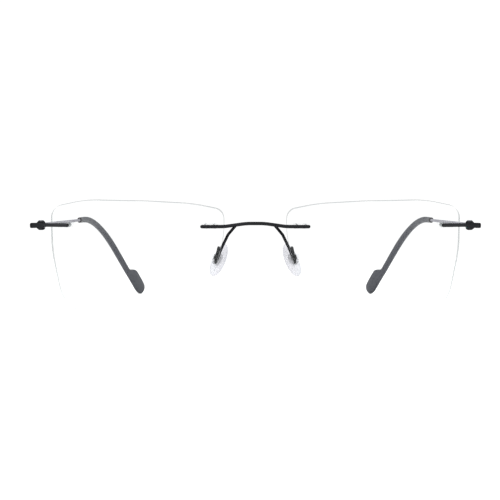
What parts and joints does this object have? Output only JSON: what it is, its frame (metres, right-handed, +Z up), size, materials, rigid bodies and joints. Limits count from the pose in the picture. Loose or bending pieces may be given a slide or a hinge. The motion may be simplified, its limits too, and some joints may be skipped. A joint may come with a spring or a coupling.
{
  "type": "rimless eyeglasses",
  "caption": "Rimless eyeglasses: drilled clear lenses on a wire bridge and endpieces, folding wire temples with soft tips, and rocking nose pads.",
  "frame": {"origin": "centre of the footprint, on the surface the glasses stand on", "axes": "+Z up, -Y the way the lenses face, temples run back along +Y, +X the wearer's left"},
  "size_m": [0.1404, 0.1404, 0.035],
  "materials": {
    "black_wire": "semi-gloss black coating",
    "temple_metal": "satin grey",
    "steel": "satin",
    "screw": "satin",
    "tip_rubber": "smooth matte",
    "lens": "clear, polished edge",
    "clear_plug": "clear",
    "nylon": "natural nylon",
    "pad_insert": "clear hard plastic",
    "pad_silicone": "clear silicone"
  },
  "bodies": {
    "front": {"bridge": "black_wire", "endpiece_left": "black_wire", "endpiece_right": "black_wire", "hinge_screw_left": "screw", "hinge_screw_right": "screw", "hinge_washers_left": "nylon", "hinge_washers_right": "nylon", "lens_left": "lens", "lens_right": "lens", "nasal_plug_left": "clear_plug", "nasal_plug_right": "clear_plug", "pad_arm_left": "black_wire", "pad_arm_right": "black_wire", "pad_box_left": "steel", "pad_box_right": "steel", "pad_screw_left": "screw", "pad_screw_right": "screw", "temporal_plug_left": "clear_plug", "temporal_plug_right": "clear_plug"},
    "temple_left": {"temple_left": "temple_metal", "temple_tip_left": "tip_rubber"},
    "temple_right": {"temple_right": "temple_metal", "temple_tip_right": "tip_rubber"},
    "pad_left": {"nose_pad_left": "pad_silicone", "pad_insert_left": "pad_insert"},
    "pad_right": {"nose_pad_right": "pad_silicone", "pad_insert_right": "pad_insert"}
  },
  "joints": [
    {"name": "temple_left_fold", "type": "hinge", "parent": "front", "child": "temple_left", "pos_m": [0.0671, -0.05749, 0.02706], "axis": [0, -0.0275, 0.9996], "range_deg": [0, 80]},
    {"name": "temple_right_fold", "type": "hinge", "parent": "front", "child": "temple_right", "pos_m": [-0.0671, -0.05749, 0.02706], "axis": [0, 0.0275, -0.9996], "range_deg": [0, 66]},
    {"name": "pad_left_rock", "type": "hinge", "parent": "front", "child": "pad_left", "pos_m": [0.01279, -0.05748, 0.017], "axis": [0.6293, 0.7765, 0.0337], "range_deg": [-10, 10]},
    {"name": "pad_right_rock", "type": "hinge", "parent": "front", "child": "pad_right", "pos_m": [-0.01279, -0.05748, 0.017], "axis": [0.6293, -0.7765, -0.0337], "range_deg": [-10, 10]}
  ]
}
